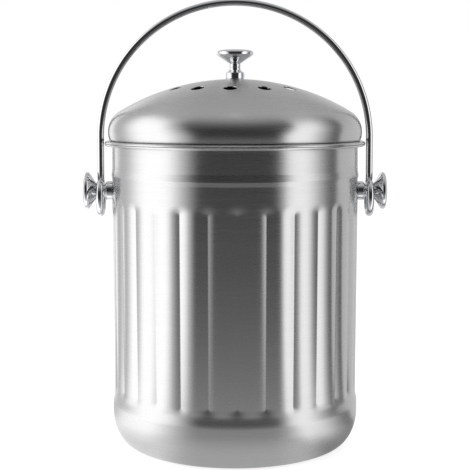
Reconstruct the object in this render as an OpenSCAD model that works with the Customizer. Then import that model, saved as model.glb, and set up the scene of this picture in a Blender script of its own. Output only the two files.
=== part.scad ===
// Kitchen compost pail of sheet steel: a fluted pail with a rolled rim, a lift-off
// domed lid with vent holes and a charcoal filter, and a wire bail that swings on
// two turned knobs.
// Millimetres, +Z up, the origin in the middle of the base. The front faces -Y.

/* [Pail] */
// Outer radius of the pail's wall
pail_r = 86.5; // [70:0.5:120]
// Height from the base to the top of the rolled rim
pail_h = 213.2; // [170:0.1:300]
// Thickness of the sheet steel of pail and lid
wall = 0.8; // [0.5:0.1:1.2]
// Width of the rounded corner between wall and base
corner_w = 14.5; // [8:0.5:24]
// Height of the rounded corner between wall and base
corner_h = 24; // [12:0.5:34]
// How far the rolled rim stands out from the wall
rim_out = 5.1; // [4:0.1:5.6]
// Height of the rolled rim
rim_h = 3.6; // [3:0.1:4.6]
// Drop from the rim's top to the middle of the raised bead
bead_drop = 23.2; // [18:0.1:24.5]
// Height of the raised bead
bead_h = 7.8; // [4:0.1:8.4]
// How far the raised bead stands out from the wall
bead_out = 0.6; // [0.4:0.1:1.2]

/* [Flutes] */
// Number of pressed creases round the wall
crease_count = 28; // [20:4:36]
// Depth of a crease at its middle
crease_depth = 1; // [0.5:0.1:1.4]
// Slope of a crease's two sides
crease_slope = 10; // [9:1:16]
// Height of the creases' lower ends above the base
crease_low = 40; // [36:1:60]
// Drop from the rim's top to the creases' upper ends
crease_top_drop = 44.7; // [44:0.1:70]
// Length over which a crease runs out at each end
crease_run = 5; // [3:0.5:8]

/* [Lid] */
// How far the lid's widest circle stands out from the pail's wall
lid_out = 2.9; // [2:0.1:3.2]
// Height of the lid's widest circle above its lower edge
lid_belly = 6; // [4:0.5:7]
// Height of the dome's top above the lid's widest circle
dome_rise = 37.1; // [30:0.1:46]
// Radius of the rounded shoulder of the dome
shoulder_r = 16.7; // [12:0.1:20]
// Radius of the rounded outer edge of the hem
hem_r = 1.2; // [0.9:0.1:1.5]
// Depth to which the skirt ring goes into the pail's mouth
skirt_depth = 10; // [6:0.5:11]
// How far the skirt ring's flange stands out over the hem
skirt_flange = 2.2; // [1:0.1:2.2]
// Number of vent holes
vent_count = 12; // [6:1:16]
// Diameter of a vent hole
vent_d = 9; // [4:0.5:10]
// Radius of the circle of vent holes
vent_ring_r = 45; // [30:0.5:46]
// Turn of the vent holes away from the front
vent_turn = -4; // [-15:1:15]

/* [Knobs] */
// Diameter of a knob's collar
collar_d = 13.3; // [11:0.1:16]
// Length of a knob's collar
collar_len = 5.4; // [4:0.1:7]
// Diameter of a knob's neck
neck_d = 8; // [6.5:0.1:9]
// Length of a knob's neck
neck_len = 6; // [5.8:0.1:8]
// Diameter of a knob's head
head_d = 26; // [20:0.5:32]
// Length of the cone under a knob's head
cone_len = 5; // [3:0.1:7]
// Thickness of a knob's head
head_len = 4.4; // [3.5:0.1:6]
// Height of the crown on a knob's head
head_crown = 0.9; // [0.3:0.1:1.5]
// Radius of a collar's outer edge
collar_edge = 0.9; // [0.3:0.1:1.5]
// Width of a turned groove in the neck
groove_w = 0.6; // [0.3:0.1:0.9]
// Depth of a turned groove in the neck
groove_deep = 0.25; // [0.1:0.05:0.4]
// Drop from the rim's top to the side knobs' middle
knob_drop = 35.4; // [34.5:0.1:38]

/* [Bail] */
// Diameter of the bail's rod
rod_d = 5; // [4:0.1:5.4]
// Height of the arch's centre above the rim's top
arch_lift = 2.1; // [0:0.1:20]
// Inner diameter of the eye at each end of the bail
eye_d = 17.5; // [15:0.1:20]
// Inner radius of the bend between leg and eye
eye_bend_r = 1.5; // [1:0.1:3]
// Angle between the leg and the rod's cut end, round the eye
eye_open = 27; // [25:1:45]

/* [Fasteners] */
// Nominal diameter of the knobs' screws
screw_d = 4; // [3:0.5:5]
// Length of thread in a knob
thread_bite = 8; // [5:0.5:9]
// Depth of thread left empty behind the screw
thread_spare = 1.5; // [0.5:0.1:3]
// Diameter of a screw's pan head
screw_head_d = 7.5; // [6:0.1:9]
// Height of a screw's pan head
screw_head_h = 2.6; // [1.8:0.1:3.5]
// Radius of a pan head's edge
screw_edge = 1; // [0.4:0.1:1.5]
// Outer diameter of a lock washer
lock_d = 7.4; // [6:0.1:8.5]
// Thickness of a lock washer
lock_t = 1; // [0.7:0.1:1.4]
// Outer diameter of a flat washer
flat_d = 10; // [8:0.5:12]
// Thickness of a flat washer
flat_t = 0.8; // [0.5:0.1:1.2]
// Outer diameter of a seal washer
seal_d = 14; // [12:0.5:16]
// Thickness of a seal washer
seal_t = 1.2; // [0.8:0.1:2]

/* [Filter] */
// Outer radius of the filter housing
housing_r = 57; // [54:0.5:62]
// Thickness of the housing's wall
housing_wall = 2; // [1.5:0.1:3]
// Number of spokes in the housing
spoke_count = 6; // [4:1:8]
// Thickness of a spoke
spoke_t = 2; // [1.5:0.1:3]
// Depth of a spoke where it meets the wall
spoke_h = 3.6; // [2:0.1:5]
// Outer radius of the housing's hub
hub_r = 8; // [7:0.1:10]
// Thickness of the hub's wall
hub_wall = 1.2; // [0.8:0.1:1.6]
// Thickness of the hub's floor, which the screw clamps
hub_floor = 3; // [2:0.1:4]
// Depth of the hub
hub_h = 10; // [8:0.5:11]
// Thickness of the charcoal filter
filter_t = 10; // [6:0.5:12]
// Thickness of the filter cover's plate
cover_t = 2; // [1.5:0.1:3]
// Height of the lip that snaps into the housing
lip_h = 4; // [2:0.1:5]
// Thickness of that lip
lip_t = 1.6; // [1.2:0.1:2.4]
// Width of a slot in the cover
slot_w = 3; // [2:0.1:4]
// Width of the finger grip under the cover
grip_w = 20; // [14:1:24]
// Height of the finger grip under the cover
grip_h = 6; // [4:0.5:8]

/* [Clearances] */
// Gap between bodies that move past each other
run_gap = 0.3; // [0.2:0.05:0.5]
// Gap between the skirt ring and the pail's mouth
skirt_gap = 0.7; // [0.5:0.1:1.5]
// Gap round a screw in a clearance hole
hole_gap = 0.25; // [0.1:0.05:0.4]
// Gap between a flat piece and the round wall that it is clamped to
seat_gap = 0.05; // [0.02:0.01:0.2]
// Gap round a screw in its thread
thread_gap = 0.05; // [0.02:0.01:0.1]

/* [Hidden] */
$fn = 96;
// How far a cut runs past a face
over = 0.5;

// Pail
mouth_r = pail_r - wall;
rim_r = pail_r + rim_out;
bead_z = pail_h - bead_drop;
crease_high = pail_h - crease_top_drop;
knob_z = pail_h - knob_drop;

// Lid. Its lower edge lies just above the rim, and its dome is a sphere that
// runs tangent into the shoulder.
lid_z = pail_h + run_gap;
lid_r = pail_r + lid_out;
belly_z = lid_z + lid_belly;
apex_z = belly_z + dome_rise;
shoulder_cx = lid_r - shoulder_r;
dome_r = (shoulder_cx^2 + dome_rise^2 - shoulder_r^2) / (2 * (dome_rise - shoulder_r));
dome_cz = apex_z - dome_r;
shoulder_angle = atan2(belly_z - dome_cz, shoulder_cx);
hem_top = lid_z + wall;
hem_turn = asin((lid_belly - hem_r) / (shoulder_r - hem_r));
hem_cx = shoulder_cx + (shoulder_r - hem_r) * cos(hem_turn);
skirt_r = mouth_r - skirt_gap;

// Knobs and the rod that hangs on their necks
neck_r = neck_d / 2;
knob_len = collar_len + neck_len + cone_len + head_len;
head_edge = (head_len - head_crown) / 2;
head_mid = knob_len - head_crown - head_edge;
bore_depth = thread_bite + thread_spare;
rod_r = rod_d / 2;
bail_x = pail_r + collar_len + neck_len / 2;
arch_z = pail_h + arch_lift;
eye_r = eye_d / 2 + rod_r;
eye_z = knob_z - (eye_d / 2 - neck_r - run_gap);
bend_r = eye_bend_r + rod_r;
bend_z = sqrt((eye_r + bend_r)^2 - bend_r^2);
bend_turn = acos(bend_r / (eye_r + bend_r));
// Half the gap between two stretches of rod, and how far the ball that joins them
// stands out
rod_split = 0.15;
rod_swell = 0.05;

// Fasteners of the side knobs, from the wall's inside towards the middle. The flat
// seal washer clears the round wall at its edge.
seal_x = sqrt(mouth_r^2 - (seal_d / 2)^2) - seat_gap;
side_stack = seal_t + flat_t + lock_t;
side_screw_len = side_stack + (pail_r - seal_x) + thread_bite;

// Fasteners of the lid knob, from the hub's floor down
hub_top = dome_inner_z(hub_r) - seat_gap;
hub_under = hub_top - hub_floor;
lid_screw_len = lock_t + flat_t + (apex_z - hub_under) + thread_bite;

// Filter stack, from the dome down
housing_in = housing_r - housing_wall;
housing_top = dome_inner_z(housing_r) - run_gap;
spoke_low = housing_top - spoke_h;
filter_top = spoke_low - run_gap;
cover_top = filter_top - filter_t;
lip_r = housing_in - run_gap;
filter_r = lip_r - lip_t - run_gap;
slot_bar = 3;
slot_in_r = grip_w / 2 + slot_bar;
slot_out_r = filter_r - slot_bar;
slot_mid_r = (slot_in_r + slot_out_r) / 2;
slot_count = 12;

// Height of the dome's inner face at a distance from the axis
function dome_inner_z(r) = dome_cz + sqrt((dome_r - wall)^2 - r^2);

// Points along an elliptic arc, from its first point or from a later one
function arc(cx, cy, rx, ry, from, to, steps = 12, first = 0) =
    [for (i = [first : steps])
        let (a = from + (to - from) * i / steps)
        [cx + rx * cos(a), cy + ry * sin(a)]];

// Half outline of the filled pail, inset from the outer skin
function pail_outline(inset, top) = concat(
    [[0, inset]],
    arc(pail_r - corner_w, corner_h, corner_w - inset, corner_h - inset, -90, 0),
    arc(pail_r - inset, bead_z, bead_out, bead_h / 2, -90, 90, 8),
    [[pail_r - inset, top], [0, top]]
);

// Half outline of the filled lid, inset from the outer skin: the hem's round edge,
// the shoulder and the dome, each tangent to the next
function lid_outline(inset) = concat(
    [[0, lid_z + inset]],
    arc(hem_cx, lid_z + hem_r, hem_r - inset, hem_r - inset, -90, -hem_turn, 5),
    arc(shoulder_cx, belly_z, shoulder_r - inset, shoulder_r - inset, -hem_turn, shoulder_angle, 14, 1),
    arc(0, dome_cz, dome_r - inset, dome_r - inset, shoulder_angle, 90, 16, 1)
);

// Half outline of a knob that stands on its collar: collar, grooved neck, cone and a
// head with a round edge and a low crown
function knob_outline() = concat(
    [[0, 0], [collar_d / 2, 0]],
    arc(collar_d / 2 - collar_edge, collar_len - collar_edge, collar_edge, collar_edge, 0, 90, 5),
    [[neck_r, collar_len]],
    neck_groove(collar_len + neck_len / 3),
    neck_groove(collar_len + neck_len * 2 / 3),
    [[neck_r, collar_len + neck_len]],
    arc(head_d / 2 - head_edge, head_mid, head_edge, head_edge, -60, 90, 9),
    [[head_d / 4, knob_len - head_crown / 4], [0, knob_len]]
);

// A fine turned groove in a knob's neck
function neck_groove(z) =
    [[neck_r, z - groove_w / 2], [neck_r - groove_deep, z], [neck_r, z + groove_w / 2]];

// Long wedge that presses one crease into the wall, on the +X side
module crease(skin_r) {
    deep = skin_r - crease_depth;
    high = crease_depth + over;
    half = high / tan(crease_slope);
    flare = crease_run * over / crease_depth;
    intersection() {
        translate([0, 0, crease_low - 2 * crease_run])
            linear_extrude(crease_high - crease_low + 4 * crease_run)
                polygon([[deep, 0], [deep + high, -half], [deep + high, half]]);
        translate([0, half + over, 0])
            rotate([90, 0, 0])
                linear_extrude(2 * (half + over))
                    polygon([
                        [deep, crease_low + crease_run],
                        [deep + high, crease_low - flare],
                        [deep + high, crease_high + flare],
                        [deep, crease_high - crease_run]
                    ]);
    }
}

module creases(skin_r) {
    for (i = [0 : crease_count - 1])
        rotate([0, 0, i * 360 / crease_count])
            crease(skin_r);
}

// Rolled rim: a flat-sided ring with a round outer edge
module rim_roll() {
    roll_r = rim_h / 2;
    rotate_extrude()
        translate([rim_r - roll_r, pail_h - roll_r])
            circle(roll_r);
    translate([0, 0, pail_h - rim_h])
        cylinder(r = rim_r - roll_r, h = rim_h);
}

// Hole for a side knob's screw, through both walls
module knob_holes() {
    translate([-rim_r, 0, knob_z])
        rotate([0, 90, 0])
            cylinder(d = screw_d + 2 * hole_gap, h = 2 * rim_r);
}

module pail_shell() {
    color("silver")
        difference() {
            union() {
                rotate_extrude()
                    polygon(pail_outline(0, pail_h - rim_h / 2));
                rim_roll();
            }
            creases(pail_r);
            knob_holes();
            difference() {
                rotate_extrude()
                    polygon(pail_outline(wall, pail_h + over));
                creases(mouth_r);
            }
        }
}

// Turned knob that stands on its collar, with a blind threaded hole
module knob() {
    difference() {
        rotate_extrude()
            polygon(knob_outline());
        translate([0, 0, -over])
            cylinder(d = screw_d + 2 * thread_gap, h = bore_depth + over);
    }
}

// Puts a piece that stands along +Z on the right wall, pointing outwards
module on_wall(x) {
    translate([x, 0, knob_z])
        rotate([0, 90, 0])
            children();
}

module knob_right() {
    color("gainsboro")
        on_wall(pail_r)
            knob();
}

module knob_left() {
    mirror([1, 0, 0])
        knob_right();
}

// Flat ring with its lower face at z = 0
module washer(d, t) {
    difference() {
        cylinder(d = d, h = t);
        translate([0, 0, -over])
            cylinder(d = screw_d + 2 * hole_gap, h = t + 2 * over);
    }
}

// Washer that is split on one side
module split_washer() {
    difference() {
        washer(lock_d, lock_t);
        translate([0, -lock_t / 2, -over])
            cube([lock_d, lock_t, lock_t + 2 * over]);
    }
}

// Pan head screw with a cross recess, its shank along +Z from z = 0
module pan_screw(len) {
    recess_w = screw_head_d / 6;
    recess_l = screw_head_d / 2;
    difference() {
        union() {
            cylinder(d = screw_d, h = len);
            rotate_extrude()
                polygon(concat(
                    [[0, 0], [screw_head_d / 2, 0]],
                    arc(screw_head_d / 2 - screw_edge, screw_edge - screw_head_h,
                        screw_edge, screw_edge, 0, -90, 5),
                    [[0, -screw_head_h]]
                ));
        }
        for (turn = [0, 90])
            rotate([0, 0, turn])
                translate([-recess_l / 2, -recess_w / 2, -screw_head_h - over])
                    cube([recess_l, recess_w, over + screw_head_h / 2]);
    }
}

module seal_washer_right() {
    color("dimgray")
        on_wall(seal_x - seal_t)
            washer(seal_d, seal_t);
}

module seal_washer_left() {
    mirror([1, 0, 0])
        seal_washer_right();
}

module flat_washer_right() {
    color("lightgray")
        on_wall(seal_x - seal_t - flat_t)
            washer(flat_d, flat_t);
}

module flat_washer_left() {
    mirror([1, 0, 0])
        flat_washer_right();
}

module lock_washer_right() {
    color("lightgray")
        on_wall(seal_x - side_stack)
            split_washer();
}

module lock_washer_left() {
    mirror([1, 0, 0])
        lock_washer_right();
}

module knob_screw_right() {
    color("lightgray")
        on_wall(seal_x - side_stack)
            pan_screw(side_screw_len);
}

module knob_screw_left() {
    mirror([1, 0, 0])
        knob_screw_right();
}

// Part of a ring of rod, in the XY plane, from an angle over a sweep. Its ends stop
// short inside the balls that join it to the next stretches.
module rod_arc(radius, from, sweep) {
    short = rod_split / radius * 180 / PI;
    rotate([0, 0, from + short])
        rotate_extrude(angle = sweep - 2 * short)
            translate([radius, 0])
                circle(rod_r);
}

// Ball a hair wider than the rod, which joins two stretches of it. Its poles lie along
// the rod, which runs square to the direction that turn gives.
module rod_joint(at, turn = 0) {
    translate(at)
        rotate([90, 0, turn])
            sphere(rod_r + rod_swell);
}

// Leg and eye on the right: the leg comes straight down, bends aside and goes once
// round the knob's neck.
module bail_leg() {
    leg_len = arch_z - eye_z - bend_z;
    translate([bail_x, 0, eye_z]) {
        translate([0, 0, bend_z + rod_split])
            cylinder(r = rod_r, h = leg_len - 2 * rod_split);
        rotate([90, 0, 90]) {
            translate([bend_r, bend_z, 0])
                rod_arc(bend_r, 180, bend_turn);
            rod_arc(eye_r, 90 + eye_open, 270 + bend_turn - eye_open);
            rod_joint([0, bend_z + leg_len, 0]);
            rod_joint([0, bend_z, 0]);
            rod_joint([bend_r, bend_z, 0] * eye_r / (eye_r + bend_r), bend_turn);
        }
    }
}

module bail() {
    color("gainsboro")
        union() {
            translate([0, 0, arch_z])
                rotate([90, 0, 0])
                    rod_arc(bail_x, 0, 180);
            bail_leg();
            mirror([1, 0, 0])
                bail_leg();
        }
}

module vents() {
    for (i = [0 : vent_count - 1])
        rotate([0, 0, vent_turn - 90 + i * 360 / vent_count])
            translate([vent_ring_r, 0, belly_z])
                cylinder(d = vent_d, h = dome_rise + over);
}

module lid_shell() {
    color("silver")
        difference() {
            rotate_extrude()
                polygon(lid_outline(0));
            rotate_extrude()
                polygon(lid_outline(wall));
            translate([0, 0, lid_z - over])
                cylinder(r = skirt_r + hole_gap, h = wall + 2 * over);
            vents();
            translate([0, 0, belly_z])
                cylinder(d = screw_d + 2 * hole_gap, h = dome_rise + over);
        }
}

// Ring that locates the lid in the pail's mouth: a skirt with a flange on the hem
module lid_skirt_ring() {
    skirt_low = pail_h - skirt_depth;
    skirt_len = hem_top + wall - skirt_low;
    color("silver")
        difference() {
            union() {
                translate([0, 0, skirt_low])
                    cylinder(r = skirt_r, h = skirt_len);
                translate([0, 0, hem_top])
                    cylinder(r = skirt_r + skirt_flange, h = wall);
            }
            translate([0, 0, skirt_low - over])
                cylinder(r = skirt_r - wall, h = skirt_len + 2 * over);
        }
}

module lid_knob() {
    color("gainsboro")
        translate([0, 0, apex_z])
            knob();
}

module lid_flat_washer() {
    color("lightgray")
        translate([0, 0, hub_under - flat_t])
            washer(flat_d, flat_t);
}

module lid_lock_washer() {
    color("lightgray")
        translate([0, 0, hub_under - flat_t - lock_t])
            split_washer();
}

module lid_screw() {
    color("lightgray")
        translate([0, 0, hub_under - flat_t - lock_t])
            pan_screw(lid_screw_len);
}

// Plastic ring that holds the filter, hung on spokes from a hub that the lid
// knob's screw clamps
module filter_housing() {
    color("darkslategray")
        difference() {
            union() {
                difference() {
                    translate([0, 0, cover_top + run_gap])
                        cylinder(r = housing_r, h = housing_top - cover_top - run_gap);
                    translate([0, 0, cover_top])
                        cylinder(r = housing_in, h = housing_top - cover_top + over);
                }
                translate([0, 0, hub_top - hub_h])
                    cylinder(r = hub_r, h = hub_h);
                for (i = [0 : spoke_count - 1])
                    rotate([0, 0, i * 360 / spoke_count])
                        spoke();
            }
            translate([0, 0, spoke_low - over])
                cylinder(r = hub_r - hub_wall, h = hub_under - spoke_low + over);
            translate([0, 0, hub_under - over])
                cylinder(d = screw_d + 2 * hole_gap, h = hub_floor + 2 * over);
        }
}

// Web from the hub to the housing's wall, clear of the dome above it
module spoke() {
    translate([0, spoke_t / 2, 0])
        rotate([90, 0, 0])
            linear_extrude(spoke_t)
                polygon([
                    [hub_r - hub_wall / 2, spoke_low],
                    [housing_in + housing_wall / 2, spoke_low],
                    [housing_in + housing_wall / 2, housing_top],
                    [hub_r - hub_wall / 2, hub_under]
                ]);
}

module charcoal_filter() {
    color("black")
        translate([0, 0, cover_top])
            cylinder(r = filter_r, h = filter_t);
}

// One ring of radial slots through the cover's plate
module slots(from_r, to_r, count) {
    for (i = [0 : count - 1])
        rotate([0, 0, (i + 0.5) * 360 / count])
            translate([from_r, -slot_w / 2, cover_top - cover_t - over])
                cube([to_r - from_r, slot_w, cover_t + 2 * over]);
}

// Slotted plate that snaps into the housing from below and carries the filter
module filter_cover() {
    color("darkslategray")
        union() {
            difference() {
                translate([0, 0, cover_top - cover_t])
                    cylinder(r = housing_r, h = cover_t);
                slots(slot_in_r, slot_mid_r - slot_bar / 2, slot_count);
                slots(slot_mid_r + slot_bar / 2, slot_out_r, 2 * slot_count);
            }
            difference() {
                translate([0, 0, cover_top])
                    cylinder(r = lip_r, h = lip_h);
                translate([0, 0, cover_top - over])
                    cylinder(r = lip_r - lip_t, h = lip_h + 2 * over);
            }
            translate([-grip_w / 2, -slot_w / 2, cover_top - cover_t - grip_h])
                cube([grip_w, slot_w, grip_h]);
        }
}

pail_shell();
knob_left();
knob_right();
seal_washer_left();
seal_washer_right();
flat_washer_left();
flat_washer_right();
lock_washer_left();
lock_washer_right();
knob_screw_left();
knob_screw_right();
bail();
lid_shell();
lid_skirt_ring();
lid_knob();
lid_flat_washer();
lid_lock_washer();
lid_screw();
filter_housing();
charcoal_filter();
filter_cover();
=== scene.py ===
"""The looks of a fluted steel compost pail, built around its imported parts.

Every shape is worked out in metres, in the parts' own frame: +Z up, the pail's axis on Z,
the front towards -Y. Run as a script; the panel and the operators list what it builds.
"""

import math

import bmesh
import bpy
import numpy as np
from bpy.props import FloatProperty, FloatVectorProperty, IntProperty, PointerProperty
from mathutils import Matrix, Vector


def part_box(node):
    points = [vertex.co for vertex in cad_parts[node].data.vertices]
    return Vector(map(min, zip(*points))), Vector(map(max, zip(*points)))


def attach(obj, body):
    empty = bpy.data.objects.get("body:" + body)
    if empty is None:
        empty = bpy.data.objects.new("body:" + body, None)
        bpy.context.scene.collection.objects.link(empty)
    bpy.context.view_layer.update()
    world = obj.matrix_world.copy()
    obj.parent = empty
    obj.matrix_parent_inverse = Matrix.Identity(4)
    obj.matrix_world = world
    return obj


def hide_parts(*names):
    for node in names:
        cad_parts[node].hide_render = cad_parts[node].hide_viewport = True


bl_info = {
    "name": "Fluted compost pail",
    "version": (1, 0, 0),
    "blender": (4, 5, 0),
    "location": "View3D > Sidebar > Pail",
    "description": "Builds a fluted steel compost pail around its packed parts",
    "category": "Object",
}

MM = 0.001

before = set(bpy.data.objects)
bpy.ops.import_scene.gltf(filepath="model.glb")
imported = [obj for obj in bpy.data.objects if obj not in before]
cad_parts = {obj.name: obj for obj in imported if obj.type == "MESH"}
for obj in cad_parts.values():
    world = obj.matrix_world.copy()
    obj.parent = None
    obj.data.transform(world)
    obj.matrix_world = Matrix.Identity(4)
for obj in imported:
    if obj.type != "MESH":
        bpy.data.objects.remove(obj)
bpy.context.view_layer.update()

PAIL_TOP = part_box("pail_shell")[1]
LID_LOW, LID_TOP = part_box("lid_shell")
RING_LOW, RING_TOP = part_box("lid_skirt_ring")
SIDE_KNOB_LOW, SIDE_KNOB_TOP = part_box("knob_right")
LID_KNOB_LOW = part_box("lid_knob")[0]
BAIL_LOW, BAIL_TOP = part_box("bail")
FILTER_LOW, FILTER_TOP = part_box("charcoal_filter")


# Colours and nodes


def linear(colour):
    """Linear red, green and blue of an sRGB hex colour, by the sRGB curve."""
    shares = np.array([int(colour[i : i + 2], 16) for i in (0, 2, 4)]) / 255
    toe, curve = shares / 12.92, ((shares + 0.055) / 1.055) ** 2.4
    return tuple(float(share) for share in np.where(shares <= 0.04045, toe, curve))


def add(tree, kind, inputs=None, **settings):
    """Adds a node, sets its properties, and fills inputs with values or with what feeds them."""
    node = tree.nodes.new(kind)
    for name, value in settings.items():
        setattr(node, name, value)
    for socket, value in (inputs or {}).items():
        if isinstance(value, bpy.types.Node):
            value = value.outputs[0]
        if isinstance(value, bpy.types.NodeSocket):
            tree.links.new(value, node.inputs[socket])
        else:
            node.inputs[socket].default_value = value
    return node


def new_material(name):
    """An empty node material and its tree."""
    material = bpy.data.materials.new(name)
    material.use_nodes = True
    material.node_tree.nodes.clear()
    return material, material.node_tree


# Surfaces


def rounded(corners, hold=0.25 * MM, steps=5):
    """Outline through corners (r, z, radius): each becomes an arc that touches both its sides.

    A holding point stands a little before and after each arc, so that flat stretches shade flat.
    """
    points = [np.array(corners[0][:2])]
    for before, corner, after in zip(corners, corners[1:], corners[2:], strict=False):
        at, radius = np.array(corner[:2]), corner[2]
        back, ahead = np.array(before[:2]) - at, np.array(after[:2]) - at
        room = np.linalg.norm(back), np.linalg.norm(ahead)
        back, ahead = back / room[0], ahead / room[1]
        half = math.acos(np.clip(back @ ahead, -1, 1)) / 2
        reach = radius / math.tan(half)
        middle = at + (back + ahead) / np.linalg.norm(back + ahead) * radius / math.sin(half)
        turn = math.pi - 2 * half
        share = np.linspace(0, 1, steps + 1)[:, None]
        bow = np.sin((1 - share) * turn) * (at + back * reach - middle)
        bow = middle + (bow + np.sin(share * turn) * (at + ahead * reach - middle)) / math.sin(turn)
        points.append(at + back * (reach + min(hold, (room[0] - reach) / 3)))
        points.extend(bow)
        points.append(at + ahead * (reach + min(hold, (room[1] - reach) / 3)))
    points.append(np.array(corners[-1][:2]))
    return np.array(points)


def arc(centre, radii, start, end, steps):
    """Points along an elliptic arc in the r-z plane, from one angle to another in degrees."""
    angle = np.radians(np.linspace(start, end, steps + 1))
    return np.stack([centre[0] + radii[0] * np.cos(angle), centre[1] + radii[1] * np.sin(angle)], 1)


def revolved(outline, angles):
    """Grid of points (outline point, angle): each outline point's circle round the Z axis."""
    r, z = outline[:, :1], outline[:, 1:]
    return np.stack([r * np.cos(angles), r * np.sin(angles), z + 0 * angles], -1)


def turned_about(count):
    """Equal angles round a full turn."""
    return np.arange(count) * 2 * math.pi / count


def ring_faces(rings, columns, wrap=False):
    """Quads between each ring of a grid and the next; rings close on themselves."""
    last = rings if wrap else rings - 1
    row, column = np.meshgrid(np.arange(last), np.arange(columns), indexing="ij")
    beside, above = (column + 1) % columns, (row + 1) % rings
    corners = [(row, column), (row, beside), (above, beside), (above, column)]
    return np.stack([i * columns + j for i, j in corners], -1).reshape(-1, 4)


def surface(grid, start=None, end=None, wrap=False):
    """(points, faces) of a grid of rings, closed by a point at either end or joined end to start."""
    rings, columns = grid.shape[:2]
    points, faces = [grid.reshape(-1, 3)], ring_faces(rings, columns, wrap).tolist()
    column = np.arange(columns)
    beside = (column + 1) % columns
    if start is not None:
        pole = np.full(columns, rings * columns)
        faces += np.stack([pole, beside, column], 1).tolist()
        points.append(np.array([start], float))
    if end is not None:
        pole = np.full(columns, sum(map(len, points)))
        last = (rings - 1) * columns
        faces += np.stack([last + column, last + beside, pole], 1).tolist()
        points.append(np.array([end], float))
    return np.concatenate(points), faces


def lathe(outline, columns):
    """(points, faces) of an outline turned round Z: from axis to axis, or closed as a ring."""
    if outline[0, 0] == 0:
        grid = revolved(outline[1:-1], turned_about(columns))
        return surface(grid, (0, 0, outline[0, 1]), (0, 0, outline[-1, 1]))
    return surface(revolved(outline, turned_about(columns)), wrap=True)


def joined(parts):
    """(points, faces) of several surfaces, as one."""
    points, faces, count = [], [], 0
    for some_points, some_faces in parts:
        points.append(some_points)
        faces += [[count + corner for corner in face] for face in some_faces]
        count += len(some_points)
    return np.concatenate(points), faces


def piece(name, shape, material, body, slot, *nodes):
    """A smooth-shaded object from (points, faces), riding on a body in place of its CAD nodes."""
    mesh = bpy.data.meshes.new(name)
    mesh.from_pydata(shape[0], [], shape[1])
    mesh.polygons.foreach_set("use_smooth", np.ones(len(mesh.polygons), bool))
    mesh.materials.append(material)
    made = bpy.data.objects.new(name, mesh)
    bpy.context.scene.collection.objects.link(made)
    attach(made, body)
    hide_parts(*nodes)
    return made


def merged(made, distance=0.001 * MM):
    """Merges the doubled points where surfaces of one piece meet."""
    work = bmesh.new()
    work.from_mesh(made.data)
    bmesh.ops.remove_doubles(work, verts=work.verts, dist=distance)
    work.to_mesh(made.data)
    work.free()


def dress(node, material):
    """Gives a CAD node that keeps its own mesh its finish."""
    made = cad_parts[node]
    made.data.materials.clear()
    made.data.materials.append(material)


# Sizes and colours


def in_mm(name, description, millimetres):
    """A setting that is a length, given in millimetres and kept in metres."""
    return FloatProperty(name=name, description=description, default=millimetres * MM, unit="LENGTH")


def in_degrees(name, description, degrees):
    """A setting that is an angle, given in degrees and kept in radians."""
    radians = math.radians(degrees)
    return FloatProperty(name=name, description=description, default=radians, subtype="ANGLE")


def in_hex(name, description, code):
    """A setting that is a colour, given as sRGB hex and kept linear."""
    shares = linear(code)
    return FloatVectorProperty(name=name, description=description, default=shares, size=3, subtype="COLOR")


class PailSizes(bpy.types.PropertyGroup):
    """The pail's shell."""

    sheet: in_mm("Sheet", "Thickness of the steel sheet", 0.8)
    wall_radius: in_mm("Wall radius", "Outer radius of the wall", SIDE_KNOB_LOW.x / MM)
    corner_width: in_mm("Corner width", "Width of the rounded corner at the base", 14.5)
    corner_height: in_mm("Corner height", "Height of the rounded corner at the base", 24)
    creases: IntProperty(
        name="Creases", description="Number of creases pressed into the wall", default=28, min=8
    )
    crease_turn: in_degrees("Crease turn", "Turn of the creases from the front", 0.95)
    crease_slope: in_degrees("Crease slope", "Slope of the wall beside a crease's line", 9.8)
    crease_reach: in_mm("Crease reach", "From a crease's line to where the wall is round", 8.6)
    crease_line: in_mm("Crease line", "Roundness of a crease's line", 0.16)
    crease_low: in_mm("Crease foot", "Height of a crease's lower end", 41.5)
    crease_high: in_mm("Crease head", "Height of a crease's upper end", 167.9)
    waist: in_mm("Waist", "How far the creased wall is drawn in at its foot", 1.1)
    waist_foot: in_mm("Waist foot", "Height where the wall is full again", 29)
    waist_low: in_mm("Waist height", "Height where the wall is drawn in most", 37.2)
    waist_high: in_mm("Waist head", "Height where the wall starts to draw in", 172)
    bead_crest: in_mm("Bead crest", "Height of the raised bead's crest", 189.2)
    bead_out: in_mm("Bead out", "How far the bead stands out", 0.6)
    bead_below: in_mm("Bead below", "Height of the bead's slope below its crest", 3.1)
    bead_above: in_mm("Bead above", "Height of the bead's slope above its crest", 4.7)
    rim_height: in_mm("Rim height", "Height of the rolled rim", 3.6)


class LidSizes(bpy.types.PropertyGroup):
    """The lid's shell and its skirt ring."""

    belly: in_mm("Belly", "Height of the widest circle above the hem", 6)
    shoulder: in_mm("Shoulder radius", "Radius of the dome's rounded shoulder", 16.7)
    hem: in_mm("Hem radius", "Radius of the rolled lower edge", 1.2)
    skirt_radius: in_mm("Skirt radius", "Outer radius of the skirt ring", 85)
    hem_turn_in: in_mm("Hem opening", "Radius of the hole inside the turned-in hem", 85.25)
    vents: IntProperty(name="Vents", description="Number of vent holes", default=12, min=4)
    vent_radius: in_mm("Vent radius", "Radius of a vent hole", 4.5)
    vent_circle: in_mm("Vent circle", "Radius of the circle of vent holes", 45)
    vent_turn: in_degrees("Vent turn", "Turn of the vents from the front", -4)


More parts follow.
